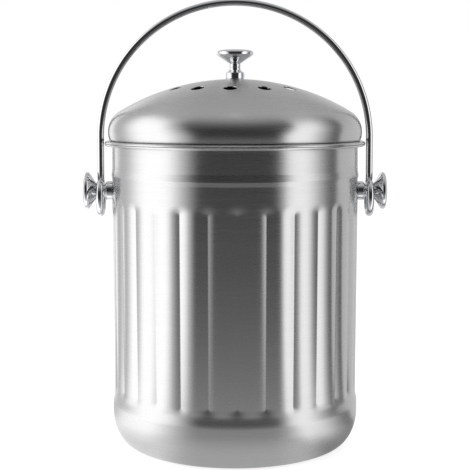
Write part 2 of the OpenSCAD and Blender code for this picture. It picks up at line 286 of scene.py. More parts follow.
class KnobSizes(bpy.types.PropertyGroup):
    """The three turned knobs."""

    collar_radius: in_mm("Collar radius", "Radius of the collar", 6.65)
    collar_length: in_mm("Collar length", "Length of the collar", 4.4)
    neck_radius: in_mm("Neck radius", "Radius of the neck", 4)
    neck_end: in_mm("Neck end", "Height where the cone begins", 10.9)
    cone_radius: in_mm("Cone radius", "Radius of the cone's wide end", 11.9)
    cone_end: in_mm("Cone end", "Height of the cone's wide end", 16.1)
    crown: in_mm("Crown", "Height of the low crown on the head", 0.9)


class BailSizes(bpy.types.PropertyGroup):
    """The wire bail."""

    rod: in_mm("Rod radius", "Radius of the rod", 2.5)
    end_round: in_mm("End rounding", "Radius of the cut ends' edge", 0.5)
    bend: in_mm("Bend radius", "Radius of the rod's middle line where leg meets eye", 4)
    eye_start: in_degrees("Eye start", "Angle of the rod's cut end round the eye", 117)


class Finishes(bpy.types.PropertyGroup):
    """The colours of the materials."""

    steel: in_hex("Steel", "Brushed stainless steel", "cbcbcb")
    chrome: in_hex("Chrome", "Polished chrome plate", "e2e3e5")
    zinc: in_hex("Zinc", "Bright zinc plate", "b9bcbf")
    rubber: in_hex("Rubber", "Black EPDM rubber", "242424")
    plastic: in_hex("Plastic", "Black ABS", "2b2b2c")
    felt: in_hex("Felt", "Carbon felt", "1f1f20")


class Studio(bpy.types.PropertyGroup):
    """The camera and the light tent."""

    camera_back: in_mm("Camera distance", "Distance from the pail's axis", 852.8)
    camera_height: in_mm("Camera height", "Height above the floor", 242.1)
    camera_pitch: in_degrees("Camera pitch", "Tilt below the horizon", 3.748)
    camera_lens: FloatProperty(name="Lens", description="Focal length", default=92.44, unit="CAMERA")
    shift_up: FloatProperty(name="Shift up", description="Share of the frame", default=-0.12)
    tent_radius: in_mm("Tent radius", "Radius of the light tent", 4000)


# Materials


def shades(finish, dull, clear):
    """A colour made duller and clearer by two factors, as the two colours of a Mix node."""
    return {i: (*(min(1.0, factor * c) for c in finish), 1) for i, factor in ((6, dull), (7, clear))}


def brushed_coordinates(tree, length, width):
    """Position for a pattern brushed round the Z axis: slow along the brushing, fine across it.

    The fine coordinate is the distance from the axis less the height, which grows steadily down
    the dome and down the wall alike. length and width are a brush mark's own.
    """
    place = add(tree, "ShaderNodeTexCoord").outputs["Object"]
    flat = add(tree, "ShaderNodeVectorMath", {0: place, 1: (1, 1, 0)}, operation="MULTIPLY")
    out = add(tree, "ShaderNodeVectorMath", {0: flat}, operation="LENGTH").outputs["Value"]
    split = add(tree, "ShaderNodeSeparateXYZ", {0: place})
    down = add(tree, "ShaderNodeMath", {0: out, 1: split.outputs["Z"]}, operation="SUBTRACT")
    joint = {"X": split.outputs["X"], "Y": split.outputs["Y"], "Z": down}
    joint = add(tree, "ShaderNodeCombineXYZ", joint)
    scale = (1 / length, 1 / length, 1 / width)
    return add(tree, "ShaderNodeVectorMath", {0: joint, 1: scale}, operation="MULTIPLY")


def brushed_stainless(finish):
    """Stainless steel 430, belt-brushed round the axis and left unlacquered.

    The brush marks smear reflections up and down the piece and keep them narrow sideways, and
    make fine level streaks of slightly different grey.
    """
    material, tree = new_material("stainless_430_brushed")
    # Real marks are about 0.1 mm apart; 0.9 mm is the finest that shows at this picture size.
    marks = {"Vector": brushed_coordinates(tree, 90 * MM, 0.9 * MM), "Detail": 3.0, "Roughness": 0.6}
    fine = add(tree, "ShaderNodeTexNoise", {**marks, "Scale": 1.0})
    bands = {"Vector": brushed_coordinates(tree, 60 * MM, 7 * MM), "Detail": 2.0}
    broad = add(tree, "ShaderNodeTexNoise", {**bands, "Scale": 1.0})
    greys = {"Factor": fine.outputs["Fac"], **shades(finish, 0.93, 1.05)}
    tone = add(tree, "ShaderNodeMix", greys, data_type="RGBA")
    both = {0: fine.outputs["Fac"], 1: broad.outputs["Fac"]}
    both = add(tree, "ShaderNodeMath", both, operation="ADD")
    rough = add(tree, "ShaderNodeMapRange", {"Value": both, 1: 0.6, 2: 1.4, 3: 0.25, 4: 0.30})
    scratch = {"Height": fine.outputs["Fac"], "Strength": 0.12, "Distance": 0.02 * MM}
    bump = add(tree, "ShaderNodeBump", scratch)
    upright = add(tree, "ShaderNodeCombineXYZ", {"Z": 1.0})
    shader = add(tree, "ShaderNodeBsdfPrincipled", {
        "Base Color": tone.outputs["Result"], "Metallic": 1.0, "Roughness": rough,
        "Anisotropic": 0.85, "Normal": bump, "Tangent": upright,
    })
    add(tree, "ShaderNodeOutputMaterial", {"Surface": shader})
    return material


def polished_chrome(finish, name, mark):
    """Bright chrome plate over steel, polished after turning or drawing.

    A near mirror: sharp dark and light reflections, with faint marks from the polish, mark apart.
    """
    material, tree = new_material(name)
    place = add(tree, "ShaderNodeTexCoord").outputs["Object"]
    fine = add(tree, "ShaderNodeTexNoise", {"Vector": place, "Scale": 1 / mark, "Detail": 2.0})
    greys = {"Factor": fine.outputs["Fac"], **shades(finish, 0.96, 1.0)}
    tone = add(tree, "ShaderNodeMix", greys, data_type="RGBA")
    rough = add(tree, "ShaderNodeMapRange", {"Value": fine.outputs["Fac"], 3: 0.03, 4: 0.07})
    polish = {"Height": fine.outputs["Fac"], "Strength": 0.04, "Distance": 0.01 * MM}
    bump = add(tree, "ShaderNodeBump", polish)
    shader = add(tree, "ShaderNodeBsdfPrincipled", {
        "Base Color": tone.outputs["Result"], "Metallic": 1.0, "Roughness": rough, "Normal": bump,
    })
    add(tree, "ShaderNodeOutputMaterial", {"Surface": shader})
    return material


def zinc_plate(finish):
    """Steel fasteners with bright zinc plate, barrel-plated: a soft grey shine with a fine mottle."""
    material, tree = new_material("steel_zinc_plated")
    place = add(tree, "ShaderNodeTexCoord").outputs["Object"]
    mottle = add(tree, "ShaderNodeTexNoise", {"Vector": place, "Scale": 1 / (0.8 * MM), "Detail": 3.0})
    greys = {"Factor": mottle.outputs["Fac"], **shades(finish, 0.85, 1.0)}
    tone = add(tree, "ShaderNodeMix", greys, data_type="RGBA")
    rough = add(tree, "ShaderNodeMapRange", {"Value": mottle.outputs["Fac"], 3: 0.25, 4: 0.42})
    metal = {"Base Color": tone.outputs["Result"], "Metallic": 1.0, "Roughness": rough}
    shader = add(tree, "ShaderNodeBsdfPrincipled", metal)
    add(tree, "ShaderNodeOutputMaterial", {"Surface": shader})
    return material


def epdm_rubber(finish):
    """Moulded EPDM rubber: nearly black and dull, with a fine bloom."""
    material, tree = new_material("rubber_epdm_moulded")
    place = add(tree, "ShaderNodeTexCoord").outputs["Object"]
    bloom = add(tree, "ShaderNodeTexNoise", {"Vector": place, "Scale": 1 / (1.5 * MM), "Detail": 4.0})
    blacks = {"Factor": bloom.outputs["Fac"], **shades(finish, 0.8, 1.2)}
    tone = add(tree, "ShaderNodeMix", blacks, data_type="RGBA")
    rough = add(tree, "ShaderNodeMapRange", {"Value": bloom.outputs["Fac"], 3: 0.6, 4: 0.75})
    skin = {"Height": bloom.outputs["Fac"], "Strength": 0.2, "Distance": 0.03 * MM}
    bump = add(tree, "ShaderNodeBump", skin)
    shader = add(tree, "ShaderNodeBsdfPrincipled", {
        "Base Color": tone.outputs["Result"], "Roughness": rough, "IOR": 1.52, "Normal": bump,
    })
    add(tree, "ShaderNodeOutputMaterial", {"Surface": shader})
    return material


def moulded_abs(finish):
    """Injection-moulded black ABS with a spark-eroded grain: satin, with soft broad highlights."""
    material, tree = new_material("abs_moulded_grain")
    place = add(tree, "ShaderNodeTexCoord").outputs["Object"]
    grain = add(tree, "ShaderNodeTexVoronoi", {"Vector": place, "Scale": 1 / (0.5 * MM)})
    cloud = add(tree, "ShaderNodeTexNoise", {"Vector": place, "Scale": 1 / (14 * MM), "Detail": 2.0})
    blacks = {"Factor": cloud.outputs["Fac"], **shades(finish, 0.88, 1.1)}
    tone = add(tree, "ShaderNodeMix", blacks, data_type="RGBA")
    rough = add(tree, "ShaderNodeMapRange", {"Value": grain.outputs["Distance"], 3: 0.38, 4: 0.5})
    skin = {"Height": grain.outputs["Distance"], "Strength": 0.25, "Distance": 0.04 * MM}
    bump = add(tree, "ShaderNodeBump", skin)
    shader = add(tree, "ShaderNodeBsdfPrincipled", {
        "Base Color": tone.outputs["Result"], "Roughness": rough, "IOR": 1.54, "Normal": bump,
    })
    add(tree, "ShaderNodeOutputMaterial", {"Surface": shader})
    return material


def carbon_felt(finish):
    """Needle-punched felt loaded with activated carbon: matt charcoal fibres with darker pits."""
    material, tree = new_material("felt_activated_carbon")
    place = add(tree, "ShaderNodeTexCoord").outputs["Object"]
    needled = {"Vector": place, "Scale": 1 / (0.9 * MM), "Detail": 6.0, "Distortion": 1.2}
    fibre = add(tree, "ShaderNodeTexNoise", needled)
    pits = add(tree, "ShaderNodeTexVoronoi", {"Vector": place, "Scale": 1 / (2.2 * MM)})
    both = {0: fibre.outputs["Fac"], 1: pits.outputs["Distance"]}
    both = add(tree, "ShaderNodeMath", both, operation="MULTIPLY")
    tone = add(tree, "ShaderNodeMix", {"Factor": both, **shades(finish, 0.45, 1.9)}, data_type="RGBA")
    bump = add(tree, "ShaderNodeBump", {"Height": both, "Strength": 0.8, "Distance": 0.4 * MM})
    shader = add(tree, "ShaderNodeBsdfPrincipled", {
        "Base Color": tone.outputs["Result"], "Roughness": 0.95, "Sheen Weight": 0.3, "Normal": bump,
    })
    add(tree, "ShaderNodeOutputMaterial", {"Surface": shader})
    return material


# Shapes


def crease_depth(sizes, angle, height):
    """Depth of the creases at an angle and a height.

    s is the distance from the nearest crease's line, and t the distance past that line's end, which
    counts for more. From the line outwards the slope falls as one less the square of the distance
    over the crease's reach, so that the wall bulges softly between two sharp lines.
    """
    pitch = 2 * math.pi / sizes.creases
    aside = (angle - sizes.crease_turn + pitch / 2) % pitch - pitch / 2
    s = aside * sizes.wall_radius
    end_share = 1.25
    t = end_share * np.maximum(0, np.maximum(height - sizes.crease_high, sizes.crease_low - height))
    away = np.sqrt(s**2 + t**2 + sizes.crease_line**2) / sizes.crease_reach
    away = np.minimum(away, 1)
    return math.tan(sizes.crease_slope) * sizes.crease_reach * (2 / 3 - away + away**3 / 3)


def waist_depth(sizes, height):
    """How far the creased wall is drawn in: steadily more down to its foot, then a soft step out."""
    down = np.clip((sizes.waist_high - height) / (sizes.waist_high - sizes.waist_low), 0, 1)
    step = np.clip((height - sizes.waist_foot) / (sizes.waist_low - sizes.waist_foot), 0, 1)
    return sizes.waist * down * step**2 * (3 - 2 * step)


def wall_heights(sizes):
    """Heights of the wall's rings: close together where creases run out, far apart between."""
    foot = np.arange(sizes.waist_foot - 1 * MM, sizes.crease_low + 3 * MM, 0.8 * MM)
    head = np.arange(sizes.crease_high - 3 * MM, sizes.crease_high + 7.5 * MM, 0.9 * MM)
    return np.concatenate([foot, np.linspace(foot[-1], head[0], 10)[1:-1], head])


def pail_outline(sizes):
    """Outline of the pail's sheet: base, corner, wall, bead, rolled rim, and the same inside."""
    r, top, sheet, rim = sizes.wall_radius, PAIL_TOP.z, sizes.sheet, PAIL_TOP.y
    crest = sizes.bead_crest
    low, high = crest - sizes.bead_below, crest + sizes.bead_above
    bead_from, bead_to = low - 2 * MM, high + 4 * MM
    middle = (r - sizes.corner_width, sizes.corner_height)
    shares = (0, 0.3, 0.6, 0.85, 0.97)
    flat = [(share * middle[0], 0) for share in shares]
    corner = arc(middle, (sizes.corner_width, sizes.corner_height), -90, 0, 22)
    heights = wall_heights(sizes)
    outer = np.stack([np.full(len(heights), r), heights], 1)
    crest_r = r + sizes.bead_out
    bead = [
        (r, bead_from, 0), (r, low, 2 * MM), (crest_r, crest, 2 * MM), (r, high, 3 * MM), (r, bead_to, 0),
    ]
    # The rim's roll is nearly a half circle, above a short step where the curl meets the wall
    roll = 0.98 * sizes.rim_height / 2
    rim_low = top - sizes.rim_height
    step_z, step_r = rim_low + 0.9 * MM, r + 0.6 * MM
    curl = rounded([
        (r, bead_to, 0), (r, step_z, 0.3 * MM), (step_r, step_z, 0.25 * MM),
        (step_r + 0.1 * MM, rim_low, 0.35 * MM), (rim, rim_low, roll), (rim, top, roll),
        (r - sheet, top, 1.6 * MM), (r - sheet, bead_to, 0),
    ], steps=8)
    inner_bead = [(reach - sheet, z, size) for reach, z, size in bead[::-1]]
    inner = np.stack([np.full(len(heights), r - sheet), heights[::-1]], 1)
    inner_corner = (sizes.corner_width - sheet, sizes.corner_height - sheet)
    inner_corner = arc(middle, inner_corner, 0, -90, 14)
    inner_flat = [(share * middle[0], sheet) for share in shares[::-1]]
    return np.concatenate([
        flat, corner, outer, rounded(bead)[1:-1], curl[1:-1],
        rounded(inner_bead)[1:-1], inner, inner_corner, inner_flat,
    ])


def pail_surface(sizes):
    """The pail's outline turned round Z, drawn in at the waist and pressed in by the creases."""
    steps = 7
    share = np.arange(-steps, steps) / steps
    aside = np.sign(share) * np.abs(share) ** 2 * math.pi / sizes.creases
    angles = (turned_about(sizes.creases)[:, None] + sizes.crease_turn + aside).ravel()
    outline = pail_outline(sizes)
    grid = revolved(outline[1:-1], angles)
    reach, height = outline[1:-1, :1], outline[1:-1, 1:]
    depth = crease_depth(sizes, angles, height) + waist_depth(sizes, height)
    grid[..., :2] *= ((reach - depth) / reach)[..., None]
    return surface(grid, (0, 0, 0), (0, 0, outline[-1, 1]))


def lid_curves(sizes):
    """Centres and angles of the lid's dome, shoulder and hem arcs, each tangent to the next."""
    belly_z = LID_LOW.z + sizes.belly
    shoulder_x = LID_TOP.y - sizes.shoulder
    rise = LID_TOP.z - belly_z
    dome = (shoulder_x**2 + rise**2 - sizes.shoulder**2) / (2 * (rise - sizes.shoulder))
    dome_z = LID_TOP.z - dome
    drop = belly_z - LID_LOW.z - sizes.hem
    reach = sizes.shoulder - sizes.hem
    hem_x = shoulder_x + math.sqrt(reach**2 - drop**2)
    return {
        "dome": dome, "dome_z": dome_z, "shoulder_x": shoulder_x, "belly_z": belly_z, "hem_x": hem_x,
        "shoulder_from": math.degrees(math.atan2(belly_z - dome_z, shoulder_x)),
        "shoulder_to": -math.degrees(math.asin(drop / reach)),
    }


def lid_shape(sizes, sheet):
    """The lid's sheet: turned dome, shoulder and hem, with a patch round each vent hole.

    Each patch is a sector between two circles, and has as many points on each of its four sides.
    """
    curves = lid_curves(sizes)
    side_points = 24
    sector = np.arange(sizes.vents * side_points) / side_points - 0.5
    angles = sizes.vent_turn - math.pi / 2 + sector * 2 * math.pi / sizes.vents
    half_width = 9 * MM
    near, far = sizes.vent_circle - half_width, sizes.vent_circle + half_width

    def skin(r, inset):
        return curves["dome_z"] + np.sqrt((curves["dome"] - inset) ** 2 - r**2)

    def dome(start, end, steps, inset):
        r = np.linspace(start, end, steps + 1)
        return np.stack([r, skin(r, inset)], 1)

    def lower(inset):
        size = sizes.shoulder - inset
        dome_edge = curves["shoulder_x"] + size * math.cos(math.radians(curves["shoulder_from"]))
        hem = sizes.hem - inset
        centre = (curves["hem_x"], LID_LOW.z + sizes.hem)
        belly = (curves["shoulder_x"], curves["belly_z"])
        return np.concatenate([
            arc(centre, (hem, hem), -90, curves["shoulder_to"], 8),
            arc(belly, (size, size), curves["shoulder_to"], curves["shoulder_from"], 26)[1:],
            dome(dome_edge, far, 12, inset)[1:],
        ])

    outside, inside = lower(0), lower(sheet)[::-1]
    turn_in = [(sizes.hem_turn_in, LID_LOW.z + sheet), (sizes.hem_turn_in, LID_LOW.z)]
    around = revolved(np.concatenate([inside, turn_in, outside]), angles)
    cap_out = revolved(dome(near, 0, 14, 0)[:-1], angles)
    cap_in = revolved(dome(0, near, 10, sheet)[1:], angles)
    parts = [
        surface(around),
        surface(cap_out, end=(0, 0, skin(0, 0))),
        surface(cap_in, start=(0, 0, skin(0, sheet))),
    ]
    parts += [vent_patch(sizes, sheet, skin, i, near, far, side_points) for i in range(sizes.vents)]
    return joined(parts)


def vent_patch(sizes, sheet, skin, index, near, far, side_points):
    """One sector of both skins round a vent: rings that shrink from the sector's edge to the hole's."""
    half = math.pi / sizes.vents
    span = np.arange(side_points) / side_points
    ones = np.ones(side_points)
    across, along = (far - near) * span, 2 * half * span
    reach = np.concatenate([near + across, far * ones, far - across, near * ones])
    bearing = np.concatenate([-half * ones, along - half, half * ones, half - along])
    edge = np.stack([reach * np.cos(bearing), reach * np.sin(bearing)], 1)
    middle = np.array([sizes.vent_circle, 0])
    corners = edge[::side_points] - middle
    turn = np.unwrap(np.arctan2(corners[:, 1], corners[:, 0]))
    turn = np.append(turn, turn[0] + 2 * math.pi)
    round_hole = np.concatenate([turn[i] + (turn[i + 1] - turn[i]) * span for i in range(4)])
    way = np.stack([np.cos(round_hole), np.sin(round_hole)], 1)
    lip = 0.38 * MM

    def sheet_ring(share, inset):
        plan = (1 - share) * (middle + way * (sizes.vent_radius + lip)) + share * edge
        return np.column_stack([plan, skin(np.hypot(*plan.T), inset)])

    def wall_ring(extra, height, inset):
        plan = middle + way * (sizes.vent_radius + extra)
        return np.column_stack([plan, skin(np.hypot(*plan.T), inset) + height])

    shares = np.linspace(1, 0, 9) ** 1.3
    lip_turns = np.linspace(0, math.pi / 2, 6)[1:]
    lips = [(lip * (1 - math.sin(turn)), lip * (1 - math.cos(turn))) for turn in lip_turns]
    rings = [sheet_ring(share, 0) for share in shares]
    rings += [wall_ring(out, -down, 0) for out, down in lips]
    rings += [wall_ring(out, down, sheet) for out, down in lips[::-1]]
    rings += [sheet_ring(share, sheet) for share in shares[::-1]]
    bearing = sizes.vent_turn - math.pi / 2 + index * 2 * half
    grid = np.array(rings)
    x, y = grid[..., 0].copy(), grid[..., 1].copy()
    grid[..., 0] = x * math.cos(bearing) - y * math.sin(bearing)
    grid[..., 1] = x * math.sin(bearing) + y * math.cos(bearing)
    return surface(grid)


def knob_outline(sizes):
    """Outline of a turned knob: collar, waisted neck with fine grooves, cone, and a crowned head."""
    length = SIDE_KNOB_TOP.x - SIDE_KNOB_LOW.x
    head = (SIDE_KNOB_TOP.z - SIDE_KNOB_LOW.z) / 2
    neck, collar, foot = sizes.neck_radius, sizes.collar_radius, sizes.collar_length
    waist = neck - 0.12 * MM
    groove, groove_half = waist - 0.22 * MM, 0.45 * MM
    middle = (foot + sizes.neck_end) / 2 + 0.4 * MM
    last_groove = sizes.neck_end - 0.4 * MM
    lip, line = 0.08 * MM, 0.1 * MM
    widest, edge = length - 2.3 * MM, length - sizes.crown
    return rounded([
        (0, 0, 0), (collar, 0, 0.3 * MM), (collar, foot, 0.9 * MM),
        (neck + 1.4 * MM, foot + 0.4 * MM, 0.3 * MM), (neck + 0.5 * MM, foot + 1.3 * MM, 0.5 * MM),
        (waist, foot + 1.9 * MM, 0.5 * MM),
        (waist, middle - groove_half, lip), (groove, middle, line), (waist, middle + groove_half, lip),
        (waist, last_groove - 0.4 * MM, lip), (groove, last_groove, line),
        (neck, sizes.neck_end, 0.15 * MM), (sizes.cone_radius, sizes.cone_end, 0.35 * MM),
        (head, widest - 1.4 * MM, 0.6 * MM), (head, widest + 0.4 * MM, 0.8 * MM),
        (head - 1.3 * MM, edge - 0.1 * MM, 1 * MM), (head * 0.55, length - 0.2 * MM, 8 * MM),
        (0, length, 0),
    ], hold=0.08 * MM, steps=6)


def bail_path(sizes, rod):
    """Middle line of the bail's rod, with its tangents and a vector square to them.

    From the cut end round the right eye, through the bend, up the leg and over half the arch; the
    left half is the right one's mirror image, run backwards.
    """
    centre = BAIL_TOP.x - rod
    eye_r = BAIL_TOP.y - rod
    eye_z = BAIL_LOW.z + rod + eye_r
    arch_z = BAIL_TOP.z - rod - centre
    bend_z = eye_z + math.sqrt((eye_r + sizes.bend) ** 2 - sizes.bend**2)
    meet = math.atan2(bend_z - eye_z, sizes.bend)
    round_eye = np.linspace(sizes.eye_start, meet + 2 * math.pi, 72)
    round_bend = np.linspace(meet + math.pi, math.pi, 12)[1:]
    up = np.linspace(bend_z, arch_z, 8)[1:]
    over = np.linspace(0, math.pi / 2, 60)[1:]
    zero, one = np.zeros_like, np.ones_like

    def turned(y, z, radius, turn):
        return np.stack([centre * one(turn), y + radius * np.cos(turn), z + radius * np.sin(turn)], 1)

    places = np.concatenate([
        turned(0, eye_z, eye_r, round_eye),
        turned(sizes.bend, bend_z, sizes.bend, round_bend),
        np.stack([centre * one(up), zero(up), up], 1),
        np.stack([centre * np.cos(over), zero(over), arch_z + centre * np.sin(over)], 1),
    ])
    along = np.concatenate([
        np.stack([zero(round_eye), -np.sin(round_eye), np.cos(round_eye)], 1),
        np.stack([zero(round_bend), np.sin(round_bend), -np.cos(round_bend)], 1),
        np.stack([zero(up), zero(up), one(up)], 1),
        np.stack([-np.sin(over), zero(over), np.cos(over)], 1),
    ])
    aside = np.concatenate([
        np.tile([1.0, 0, 0], (len(places) - len(over), 1)),
        np.stack([np.cos(over), zero(over), np.sin(over)], 1),
    ])
    flip = np.array([-1, 1, 1])
    places = np.concatenate([places, (places * flip)[-2::-1]])
    along = np.concatenate([along, (-along * flip)[-2::-1]])
    aside = np.concatenate([aside, (aside * flip)[-2::-1]])
    return places, along, aside


def bail_surface(sizes):
    """A round rod swept along the bail's middle line, its two cut ends slightly rounded."""
    rod, edge = sizes.rod, sizes.end_round
    places, along, aside = bail_path(sizes, rod)
    end_rings = 5
    bevel = np.radians(np.linspace(90, 0, end_rings))[:, None]
    start = places[0] + along[0] * (edge - edge * np.sin(bevel))
    size_start = rod - edge + edge * np.cos(bevel)
    end = places[-1] - along[-1] * (edge - edge * np.sin(bevel))
    line = np.concatenate([start, places[1:-1], end[::-1]])
    repeats = np.ones(len(places), int)
    repeats[[0, -1]] = end_rings
    tangents, sides = np.repeat(along, repeats, 0), np.repeat(aside, repeats, 0)
    radius = np.concatenate([size_start, np.full((len(places) - 2, 1), rod), size_start[::-1]])
    other = np.cross(tangents, sides)
    turn = turned_about(40)[None, :, None]
    way = np.cos(turn) * sides[:, None] + np.sin(turn) * other[:, None]
    grid = line[:, None] + radius[:, None] * way
    return surface(grid, places[0], places[-1])


def pad_shape():
    """A round felt pad: a disc with soft edges, its faces raised and sunk by crossing waves."""
    radius, low, high = FILTER_TOP.x, FILTER_LOW.z, FILTER_TOP.z
    soft, wave = 2.2 * MM, 0.35 * MM
    outline = rounded([(0, low, 0), (radius, low, soft), (radius, high, soft), (0, high, 0)], steps=7)
    flat = np.linspace(0.04, 0.93, 16)[:, None] * radius
    bottom = np.hstack([flat, np.full_like(flat, low)])
    top = np.hstack([flat[::-1], np.full_like(flat, high)])
    outline = np.concatenate([outline[:1], bottom, outline[2:-2], top, outline[-1:]])
    grid = revolved(outline[1:-1], turned_about(128))
    x, y, z = grid[..., 0], grid[..., 1], grid[..., 2]
    share = (z - low) / (high - low) * 2 - 1
    ripple = np.sin(x / (4.1 * MM) + np.sin(y / (3.3 * MM)))
    ripple = ripple * np.sin(y / (4.7 * MM) + 2 * np.sin(x / (5.9 * MM)))
    grid[..., 2] -= np.sign(share) * share**2 * wave * (1 + ripple) / 2
    return surface(grid, (0, 0, low + wave / 2), (0, 0, high - wave / 2))


def ring_outline(skirt_r, sheet):
    """Outline of the lid's skirt ring: an upright skirt with a flange at its top."""
    flange_r, low, top = RING_TOP.y, RING_LOW.z, RING_TOP.z
    inner, under = skirt_r - sheet, top - sheet
    fine, bend = 0.25 * MM, 0.6 * MM
    corners = [
        (inner, low, fine), (skirt_r, low, fine), (skirt_r, under, fine), (flange_r, under, fine),
        (flange_r, top, fine), (inner, top, bend),
    ]
    path = rounded([corners[-1], *corners, corners[0]], hold=0.2 * MM)
    return path[1:-1]


# Operators


class COMPOST_OT_pail_shell(bpy.types.Operator):
    """The pail's shell: one sheet with rounded base, pressed creases, bead and rolled rim"""

    bl_idname = "compost.pail_shell"
    bl_label = "Pail shell"

    def execute(self, context):
        steel = brushed_stainless(context.scene.pail_finishes.steel)
        shape = pail_surface(context.scene.pail_sizes)
        piece("pail_shell_skin", shape, steel, "pail", "pail_steel", "pail_shell")
        return {"FINISHED"}


class COMPOST_OT_lid_shell(bpy.types.Operator):
    """The lid's shell with its vent holes, and the skirt ring below it"""

    bl_idname = "compost.lid_shell"
    bl_label = "Lid shell and skirt ring"

    def execute(self, context):
        steel = brushed_stainless(context.scene.pail_finishes.steel)
        sheet = context.scene.pail_sizes.sheet
        sizes = context.scene.lid_sizes
        lid = piece("lid_shell_skin", lid_shape(sizes, sheet), steel, "lid", "lid_steel", "lid_shell")
        merged(lid)
        skirt = lathe(ring_outline(sizes.skirt_radius, sheet), 256)
        piece("lid_skirt", skirt, steel, "lid", "lid_steel", "lid_skirt_ring")
        return {"FINISHED"}


class COMPOST_OT_knobs(bpy.types.Operator):
    """The three turned knobs: one on each side and one on the lid"""

    bl_idname = "compost.knobs"
    bl_label = "Knobs"

    def execute(self, context):
        chrome = polished_chrome(context.scene.pail_finishes.chrome, "chrome_plate_turned", 1.2 * MM)
        points, faces = lathe(knob_outline(context.scene.knob_sizes), 96)
        x, y, z = points.T
        level = (SIDE_KNOB_LOW.z + SIDE_KNOB_TOP.z) / 2
        foot = SIDE_KNOB_LOW.x
        right = np.stack([foot + z, y, level - x], 1)
        left = np.stack([-foot - z, y, level + x], 1)
        upright = points + (0, 0, LID_KNOB_LOW.z)
        piece("side_knob_right", (right, faces), chrome, "pail", "knob_chrome", "knob_right")
        piece("side_knob_left", (left, faces), chrome, "pail", "knob_chrome", "knob_left")
        piece("top_knob", (upright, faces), chrome, "lid", "knob_chrome", "lid_knob")
        return {"FINISHED"}


class COMPOST_OT_bail(bpy.types.Operator):
    """The wire bail with an eye at each end"""

    bl_idname = "compost.bail"
    bl_label = "Bail"

    def execute(self, context):
        chrome = polished_chrome(context.scene.pail_finishes.chrome, "chrome_plate_drawn", 2 * MM)
        piece("bail_rod", bail_surface(context.scene.bail_sizes), chrome, "bail", "bail_chrome", "bail")
        return {"FINISHED"}


class COMPOST_OT_fasteners(bpy.types.Operator):
    """The screws, washers and seals that hold the knobs"""

    bl_idname = "compost.fasteners"
    bl_label = "Fasteners"

    def execute(self, context):
        zinc = zinc_plate(context.scene.pail_finishes.zinc)
        rubber = epdm_rubber(context.scene.pail_finishes.rubber)
        for side in ("left", "right"):
            dress(f"knob_screw_{side}", zinc)
            dress(f"flat_washer_{side}", zinc)
            dress(f"lock_washer_{side}", zinc)
            dress(f"seal_washer_{side}", rubber)
        for node in ("lid_screw", "lid_flat_washer", "lid_lock_washer"):
            dress(node, zinc)
        return {"FINISHED"}


class COMPOST_OT_filter_holder(bpy.types.Operator):
    """The plastic filter housing and its slotted cover"""

    bl_idname = "compost.filter_holder"
    bl_label = "Filter holder"

    def execute(self, context):
        plastic = moulded_abs(context.scene.pail_finishes.plastic)
        dress("filter_housing", plastic)
        dress("filter_cover", plastic)
        return {"FINISHED"}


class COMPOST_OT_charcoal_pad(bpy.types.Operator):
    """The round charcoal felt pad under the vents"""

    bl_idname = "compost.charcoal_pad"
    bl_label = "Charcoal pad"

    def execute(self, context):
        felt = carbon_felt(context.scene.pail_finishes.felt)
        body, slot = "filter_cover", "charcoal_felt"
        pad = piece("charcoal_pad", pad_shape(), felt, body, slot, "charcoal_filter")
        return {"FINISHED"}


# Studio


def seen_rays(tree):
    """1 for what the camera sees directly, in metal or through glass, and 0 for what only lights."""
    rays = add(tree, "ShaderNodeLightPath")
    seen = rays.outputs["Is Camera Ray"]
    for kind in ("Is Glossy Ray", "Is Transmission Ray"):
        seen = add(tree, "ShaderNodeMath", {0: seen, 1: rays.outputs[kind]}, operation="MAXIMUM")
    return seen


def floor_material():
    """White seamless paper: white where it is seen, with the pail's own soft shadow on it."""
    material, tree = new_material("floor_white_paper")
    glow = add(tree, "ShaderNodeEmission", {"Color": (1, 1, 1, 1), "Strength": FLOOR_GLOW})
    soft = add(tree, "ShaderNodeBsdfDiffuse", {"Color": (*(FLOOR_SHADOW,) * 3, 1)})
    shown = add(tree, "ShaderNodeAddShader", {0: glow, 1: soft})
    plain = add(tree, "ShaderNodeBsdfDiffuse", {"Color": (*(FLOOR_PAPER,) * 3, 1)})
    both = add(tree, "ShaderNodeMixShader", {0: seen_rays(tree), 1: plain, 2: shown})
    add(tree, "ShaderNodeOutputMaterial", {"Surface": both})
    return material


# What stands round the pail, as metal sees it. Each is start, edge, end, edge, top, edge, brightness:
# its two ends in degrees to the right of the front, its top in degrees above the table, and after
# each of them the width of its soft edge. The camera's side and the near front have no brightness.
REAR_WINDOW = (-158, 10, -136, 12, 24, 24, 1.25)
LEFT_SOFT_BOX = (-104, 36, -53, 24, 50, 20, 1.72)
RIGHT_STRIP = (44, 12, 73, 22, 44, 36, 1.42)
RIGHT_SCREEN = (87, 20, 105, 4, 44, 28, 0.16)
SCREENS = (REAR_WINDOW, LEFT_SOFT_BOX, RIGHT_STRIP, RIGHT_SCREEN)
CAMERA_SIDE = (-38, 16, 41, 14, 56, 60)
CAMERA_DARK = 0.03
# The table close to the pail, where the light comes round it: each is darker than the far table, a painted
# shade of the pail
LEFT_NEAR = (-125, 30, -30, 30, 50, 20, 1.02)
RIGHT_NEAR = (26, 14, 45, 20, 44, 36, 0.66)
RIGHT_NEAR_SHADE = (46, 24, 120, 30, 44, 28, 0.32)
NEAR_PAINTED_SHADES = (LEFT_NEAR, RIGHT_NEAR, RIGHT_NEAR_SHADE)
NEAR_FRONT = (-31, 30, 27, 16, 56, 60)
# The distances from the pail's axis between which the painted shade of the near table turns into the far
# one
NEAR_FROM, NEAR_TO = 0.085, 0.15
# Each of these stands further back the higher it is: degrees of bearing per degree of height
LEAN = 0.45
# The cloth between them, low down and high up, and the two heights, in degrees, where it changes
CLOTH_LOW, CLOTH_HIGH, CLOTH_FROM, CLOTH_TO = 0.7, 0.57, 10, 35
